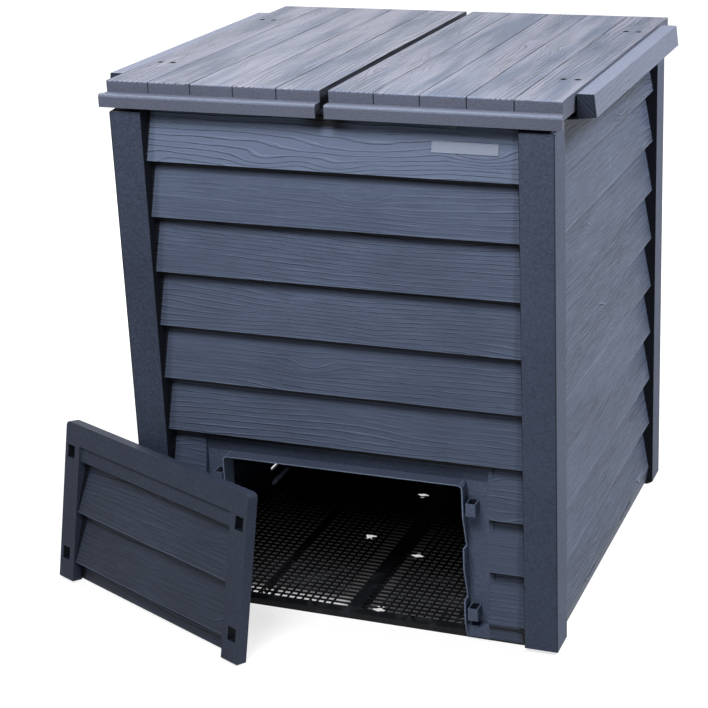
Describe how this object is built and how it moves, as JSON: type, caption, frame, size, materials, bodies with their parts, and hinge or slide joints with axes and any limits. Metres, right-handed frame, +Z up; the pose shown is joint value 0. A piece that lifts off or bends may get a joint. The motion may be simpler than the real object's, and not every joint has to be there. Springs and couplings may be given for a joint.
{
  "type": "garden compost bin",
  "caption": "Square louvred compost bin on a meshed base, with a split lid hinged along both sides and a lift-out door leaning beside its low front opening.",
  "frame": {"origin": "on the ground under the middle of the bin's base, at the underside of the strip that joins the two base halves", "axes": "+Z up, the front with the door opening faces -Y, +X to the right as seen from the front"},
  "size_m": [1.0125, 0.9706, 0.95],
  "materials": {
    "body_plastic": "blue-grey moulded plastic with raised wood grain and a low sheen",
    "base_plastic": "black moulded plastic",
    "fixings": "dull dark steel"
  },
  "bodies": {
    "bin": {"post_front_left": "body_plastic", "post_front_right": "body_plastic", "post_rear_right": "body_plastic", "post_rear_left": "body_plastic", "wall_front": "body_plastic", "wall_right": "body_plastic", "wall_rear": "body_plastic", "wall_left": "body_plastic", "base_right": "base_plastic", "base_left": "base_plastic", "base_strip": "base_plastic", "rail_right": "body_plastic", "rail_left": "body_plastic", "hinge_pin_right_1": "fixings", "hinge_pin_right_2": "fixings", "hinge_pin_left_1": "fixings", "hinge_pin_left_2": "fixings"},
    "right_lid": {"lid_right": "body_plastic", "hinge_bracket_right_1": "base_plastic", "hinge_bracket_right_2": "base_plastic", "lid_screw_right_1": "fixings", "lid_screw_right_2": "fixings", "lid_screw_right_3": "fixings", "lid_screw_right_4": "fixings"},
    "left_lid": {"lid_left": "body_plastic", "hinge_bracket_left_1": "base_plastic", "hinge_bracket_left_2": "base_plastic", "lid_screw_left_1": "fixings", "lid_screw_left_2": "fixings", "lid_screw_left_3": "fixings", "lid_screw_left_4": "fixings"},
    "door": {"door_panel": "body_plastic"}
  },
  "joints": [
    {"name": "right_lid_hinge", "type": "hinge", "parent": "bin", "child": "right_lid", "pos_m": [0.4125, 0, 0.9375], "axis": [0, 1, 0], "range_deg": [0, 105]},
    {"name": "left_lid_hinge", "type": "hinge", "parent": "bin", "child": "left_lid", "pos_m": [-0.4125, 0, 0.9375], "axis": [0, -1, 0], "range_deg": [0, 105]},
    {"name": "door_lift", "type": "slide", "parent": "bin", "child": "door", "axis": [0, 0, 1], "range_m": [0, 0.4]}
  ]
}
